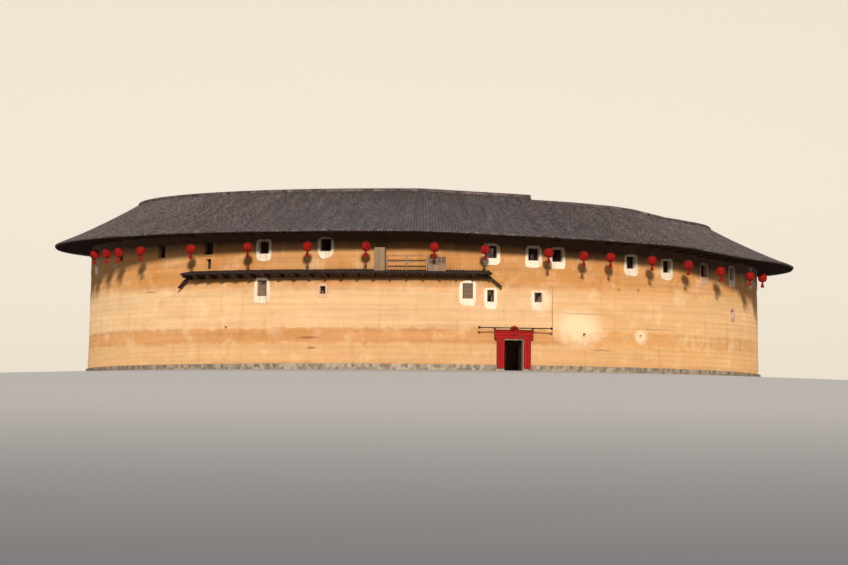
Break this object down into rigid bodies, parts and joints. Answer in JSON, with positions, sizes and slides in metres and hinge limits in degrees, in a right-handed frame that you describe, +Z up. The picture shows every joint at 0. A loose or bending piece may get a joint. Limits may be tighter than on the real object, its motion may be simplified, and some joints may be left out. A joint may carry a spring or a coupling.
{
  "type": "ring-shaped rammed-earth courtyard house, 1:2 scale model",
  "caption": "Round earth house, scale model: thick ring wall, tiled ring roof sinking to one side, timber galleries round an open court, waist roof, lanterns and a hinged gate.",
  "frame": {"origin": "centre of the ring on the ground", "axes": "+Z up; the gate faces -Y; +X to the right of someone who looks in at the gate"},
  "size_m": [33, 33, 7.71],
  "materials": {
    "earth": "rammed earth, matt, with lift lines",
    "cobble": "river cobbles set in earth",
    "stone": "dressed granite, fine tooled",
    "roof_tile": "unglazed grey-brown clay tiles, weathered",
    "timber": "oiled fir planks and posts",
    "dark_timber": "dark weathered fir",
    "grey_timber": "silver-grey weathered boards",
    "red_paint": "red painted boards, semi-matt",
    "lantern_cloth": "red cloth over a light frame"
  },
  "bodies": {
    "house": {"plinth_front_right": "cobble", "plinth_back_right": "cobble", "plinth_back_left": "cobble", "plinth_front_left": "cobble", "wall_front_right": "earth", "wall_right": "earth", "wall_right_rear": "earth", "wall_back_right": "earth", "wall_back": "earth", "wall_back_left": "earth", "wall_left": "earth", "wall_front_left": "earth", "wall_over_gate": "earth", "wall_gate_left": "earth", "wall_gate_right": "earth", "floor_second_storey": "timber", "floor_third_storey": "timber", "floor_fourth_storey": "timber", "room_front_ground": "timber", "room_front_second": "timber", "room_front_third": "timber", "room_front_fourth": "timber", "gallery_front_right": "timber", "gallery_back_right": "timber", "gallery_back_left": "timber", "gallery_front_left": "timber", "roof_front_right": "roof_tile", "roof_right": "roof_tile", "roof_right_rear": "roof_tile", "roof_back_right": "roof_tile", "roof_back": "roof_tile", "roof_back_left": "roof_tile", "roof_left": "roof_tile", "roof_front": "roof_tile", "gate_frame": "stone", "gate_threshold": "stone", "gate_header": "dark_timber", "gate_surround": "red_paint", "gate_pole": "dark_timber", "waist_roof": "dark_timber", "lookout_bay_left": "grey_timber", "lookout_bay_right": "grey_timber", "lookout_rail": "grey_timber", "lantern_row": "lantern_cloth"},
    "left_leaf": {"gate_leaf_left": "dark_timber"},
    "right_leaf": {"gate_leaf_right": "dark_timber"}
  },
  "joints": [
    {"name": "left_leaf_hinge", "type": "hinge", "parent": "house", "child": "left_leaf", "pos_m": [-0.42, -14.765, 0.7], "axis": [0, 0, 1], "range_deg": [-90, 0]},
    {"name": "right_leaf_hinge", "type": "hinge", "parent": "house", "child": "right_leaf", "pos_m": [0.42, -14.765, 0.7], "axis": [0, 0, 1], "range_deg": [0, 90]}
  ]
}
